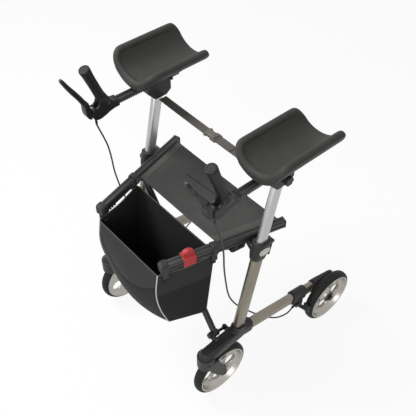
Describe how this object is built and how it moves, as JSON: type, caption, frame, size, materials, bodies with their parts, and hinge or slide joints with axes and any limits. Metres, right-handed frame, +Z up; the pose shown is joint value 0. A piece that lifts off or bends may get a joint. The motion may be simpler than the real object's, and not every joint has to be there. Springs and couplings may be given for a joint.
{
  "type": "upright walker",
  "caption": "Folding upright walker with forearm troughs, hand grips with brake levers, a cloth seat, a front bag and casters under leaning masts.",
  "frame": {"origin": "on the floor, in the middle plane, halfway between the front and rear axles", "axes": "+Z up, -Y towards the bag and the casters, +X towards the user's left"},
  "size_m": [0.6794, 0.7284, 0.994],
  "materials": {
    "black_plastic": "moulded",
    "champagne_tube": "satin paint",
    "silver_tube": "satin anodised",
    "badge_plate": "satin",
    "zinc_rod": "plated",
    "cable_sheath": "smooth",
    "rim_silver": "metallic paint",
    "tyre": "matte",
    "trough_foam": "skin foam",
    "strap_webbing": "woven",
    "grip_rubber": "matte",
    "bar_black": "powder coat",
    "seat_cloth": "woven",
    "bag_cloth": "woven",
    "latch_red": "moulded"
  },
  "bodies": {
    "left_frame": {"left_casting": "black_plastic", "left_upright": "champagne_tube", "left_rail": "champagne_tube", "left_collar": "black_plastic", "left_badge": "badge_plate", "left_rear_bracket": "black_plastic", "left_brake_mount": "black_plastic", "left_hinge_rod": "zinc_rod", "left_cable": "cable_sheath"},
    "left_fork": {"left_fork": "black_plastic"},
    "left_front_wheel": {"left_front_rim": "rim_silver", "left_front_tyre": "tyre"},
    "left_rear_wheel": {"left_rear_rim": "rim_silver", "left_rear_tyre": "tyre"},
    "left_brake_arm": {"left_brake_arm": "black_plastic"},
    "left_height_lever": {"left_height_lever": "black_plastic"},
    "left_mast": {"left_mast": "silver_tube", "left_clamp": "black_plastic", "left_trough": "trough_foam", "left_strap": "strap_webbing"},
    "left_reach_knob": {"left_reach_knob": "black_plastic"},
    "left_reach": {"left_arm_bar": "bar_black", "left_handle": "black_plastic", "left_grip": "grip_rubber"},
    "left_brake_lever": {"left_brake_lever": "black_plastic"},
    "right_frame": {"right_casting": "black_plastic", "right_upright": "champagne_tube", "right_rail": "champagne_tube", "right_collar": "black_plastic", "right_badge": "badge_plate", "right_rear_bracket": "black_plastic", "right_brake_mount": "black_plastic", "right_hinge_rod": "zinc_rod", "right_cable": "cable_sheath"},
    "right_fork": {"right_fork": "black_plastic"},
    "right_front_wheel": {"right_front_rim": "rim_silver", "right_front_tyre": "tyre"},
    "right_rear_wheel": {"right_rear_rim": "rim_silver", "right_rear_tyre": "tyre"},
    "right_brake_arm": {"right_brake_arm": "black_plastic"},
    "right_height_lever": {"right_height_lever": "black_plastic"},
    "right_mast": {"right_mast": "silver_tube", "right_clamp": "black_plastic", "right_trough": "trough_foam", "right_strap": "strap_webbing"},
    "right_reach_knob": {"right_reach_knob": "black_plastic"},
    "right_reach": {"right_arm_bar": "bar_black", "right_handle": "black_plastic", "right_grip": "grip_rubber"},
    "right_brake_lever": {"right_brake_lever": "black_plastic"},
    "left_brace": {"left_brace": "bar_black"},
    "right_brace": {"right_brace": "bar_black"},
    "left_seat_bar": {"left_seat_bar": "bar_black", "left_bar_fittings": "black_plastic", "seat": "seat_cloth", "bag": "bag_cloth"},
    "right_seat_bar": {"right_seat_bar": "bar_black", "right_bar_fittings": "black_plastic"},
    "fold_latch": {"fold_latch": "latch_red"}
  },
  "joints": [
    {"name": "fold", "type": "hinge", "parent": "left_frame", "child": "left_brace", "pos_m": [0.216, -0.21203, 0.23967], "axis": [0, 0.9781, -0.2079], "range_deg": [0, 28], "deforming": ["seat", "bag", "left_strap", "right_strap"]},
    {"name": "brace_cross", "type": "hinge", "parent": "left_brace", "child": "right_brace", "pos_m": [0, -0.17568, 0.41069], "axis": [0, 0.9781, -0.2079], "range_deg": [-56, 0]},
    {"name": "right_side_fold", "type": "hinge", "parent": "right_brace", "child": "right_frame", "pos_m": [-0.216, -0.21203, 0.23967], "axis": [0, 0.9781, -0.2079], "range_deg": [0, 28]},
    {"name": "left_bar_fold", "type": "hinge", "parent": "right_brace", "child": "left_seat_bar", "pos_m": [0.1987, -0.14225, 0.568], "axis": [0, 0.9781, -0.2079], "range_deg": [0, 28]},
    {"name": "right_bar_fold", "type": "hinge", "parent": "left_brace", "child": "right_seat_bar", "pos_m": [-0.1987, -0.14225, 0.568], "axis": [0, 0.9781, -0.2079], "range_deg": [-28, 0]},
    {"name": "fold_latch", "type": "slide", "parent": "left_seat_bar", "child": "fold_latch", "axis": [0.2575, 0.9663, 0], "range_m": [0, 0.012]},
    {"name": "left_swivel", "type": "hinge", "parent": "left_frame", "child": "left_fork", "pos_m": [0.252, -0.293, 0.211], "axis": [0, 0, 1], "continuous": true},
    {"name": "left_front_spin", "type": "hinge", "parent": "left_fork", "child": "left_front_wheel", "pos_m": [0.252, -0.237, 0.1], "axis": [1, 0, 0], "continuous": true},
    {"name": "left_rear_spin", "type": "hinge", "parent": "left_frame", "child": "left_rear_wheel", "pos_m": [0.286, 0.237, 0.1], "axis": [1, 0, 0], "continuous": true},
    {"name": "left_height", "type": "slide", "parent": "left_frame", "child": "left_mast", "axis": [0, 0.2079, 0.9781], "range_m": [0, 0.25], "deforming": ["left_cable"]},
    {"name": "left_height_lever", "type": "hinge", "parent": "left_frame", "child": "left_height_lever", "pos_m": [0.252, -0.05509, 0.59087], "axis": [1, 0, 0], "range_deg": [0, 80]},
    {"name": "left_reach", "type": "slide", "parent": "left_mast", "child": "left_reach", "axis": [0, 1, 0], "range_m": [-0.03, 0.03], "deforming": ["left_cable"]},
    {"name": "left_reach_knob", "type": "hinge", "parent": "left_mast", "child": "left_reach_knob", "pos_m": [0.252, -0.04335, 0.83], "axis": [1, 0, 0], "range_deg": [0, 270]},
    {"name": "left_brake_lever", "type": "hinge", "parent": "left_reach", "child": "left_brake_lever", "pos_m": [0.252, -0.28835, 0.866], "axis": [-1, 0, 0], "range_deg": [0, 18], "stiffness_Nm_per_rad": 1.5, "springref_deg": -11.46},
    {"name": "left_brake_arm", "type": "hinge", "parent": "left_frame", "child": "left_brake_arm", "pos_m": [0.252, 0.11789, 0.13581], "axis": [1, 0, 0], "range_deg": [0, 3.6]},
    {"name": "right_swivel", "type": "hinge", "parent": "right_frame", "child": "right_fork", "pos_m": [-0.252, -0.293, 0.211], "axis": [0, 0, 1], "continuous": true},
    {"name": "right_front_spin", "type": "hinge", "parent": "right_fork", "child": "right_front_wheel", "pos_m": [-0.252, -0.237, 0.1], "axis": [1, 0, 0], "continuous": true},
    {"name": "right_rear_spin", "type": "hinge", "parent": "right_frame", "child": "right_rear_wheel", "pos_m": [-0.286, 0.237, 0.1], "axis": [1, 0, 0], "continuous": true},
    {"name": "right_height", "type": "slide", "parent": "right_frame", "child": "right_mast", "axis": [0, 0.2079, 0.9781], "range_m": [0, 0.25], "deforming": ["right_cable"]},
    {"name": "right_height_lever", "type": "hinge", "parent": "right_frame", "child": "right_height_lever", "pos_m": [-0.252, -0.05509, 0.59087], "axis": [1, 0, 0], "range_deg": [0, 80]},
    {"name": "right_reach", "type": "slide", "parent": "right_mast", "child": "right_reach", "axis": [0, 1, 0], "range_m": [-0.03, 0.03], "deforming": ["right_cable"]},
    {"name": "right_reach_knob", "type": "hinge", "parent": "right_mast", "child": "right_reach_knob", "pos_m": [-0.252, -0.04335, 0.83], "axis": [1, 0, 0], "range_deg": [0, 270]},
    {"name": "right_brake_lever", "type": "hinge", "parent": "right_reach", "child": "right_brake_lever", "pos_m": [-0.252, -0.28835, 0.866], "axis": [-1, 0, 0], "range_deg": [0, 18], "stiffness_Nm_per_rad": 1.5, "springref_deg": -11.46},
    {"name": "right_brake_arm", "type": "hinge", "parent": "right_frame", "child": "right_brake_arm", "pos_m": [-0.252, 0.11789, 0.13581], "axis": [1, 0, 0], "range_deg": [0, 3.6]}
  ],
  "couplings": [
    {"joint": "brace_cross", "follows": "fold", "ratio": -2},
    {"joint": "right_side_fold", "follows": "fold", "ratio": 1},
    {"joint": "left_bar_fold", "follows": "fold", "ratio": 1},
    {"joint": "right_bar_fold", "follows": "fold", "ratio": -1},
    {"joint": "left_brake_arm", "follows": "left_brake_lever", "ratio": 0.2},
    {"joint": "right_brake_arm", "follows": "right_brake_lever", "ratio": 0.2},
    {"joint": "right_height", "follows": "left_height", "ratio": 1}
  ]
}
